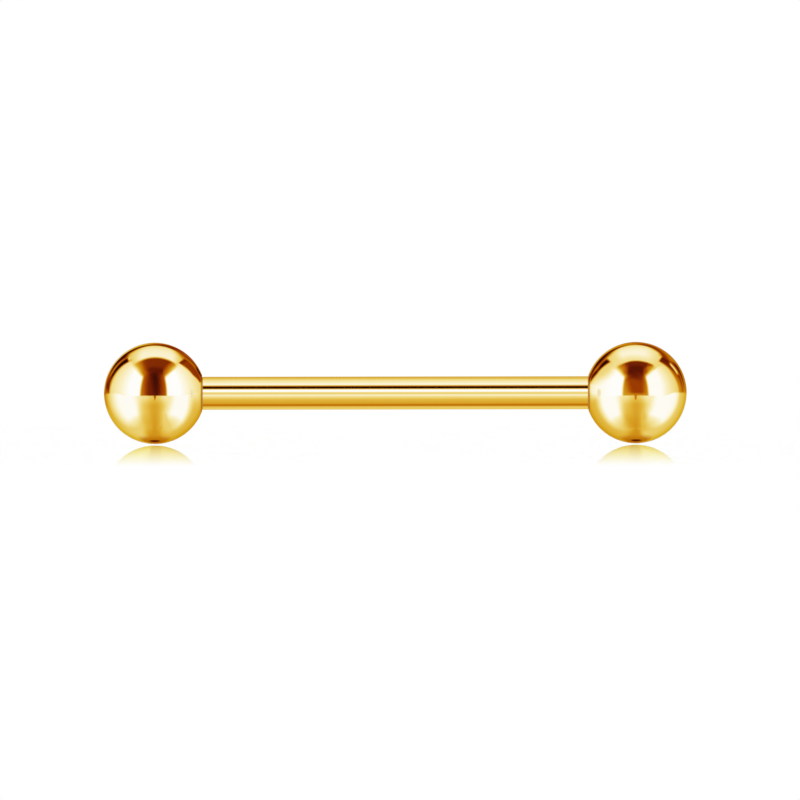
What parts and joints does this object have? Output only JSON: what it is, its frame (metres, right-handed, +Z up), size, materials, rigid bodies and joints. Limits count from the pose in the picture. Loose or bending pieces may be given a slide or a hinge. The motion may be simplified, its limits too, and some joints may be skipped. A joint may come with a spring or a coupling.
{
  "type": "straight piercing barbell",
  "caption": "Straight body-piercing barbell: a polished gold-coloured bar, tapped at each end, with a round ball screwed onto either end by its threaded stem.",
  "frame": {"origin": "on the surface that the barbell lies on, midway between the balls and directly below the bar's middle", "axes": "+X along the bar towards the right ball, +Z up from the surface, +Y away from the viewer of the picture"},
  "size_m": [0.0288, 0.005, 0.005],
  "materials": {
    "bar_metal": "polished",
    "ball_metal": "polished"
  },
  "bodies": {
    "bar": {"bar": "bar_metal"},
    "left_ball": {"left_ball": "ball_metal"},
    "right_ball": {"right_ball": "ball_metal"}
  },
  "joints": [
    {"name": "left_ball_screw", "type": "slide", "parent": "bar", "child": "left_ball", "axis": [-1, 0, 0], "range_m": [0, 0.02]},
    {"name": "right_ball_screw", "type": "slide", "parent": "bar", "child": "right_ball", "axis": [1, 0, 0], "range_m": [0, 0.02]}
  ]
}
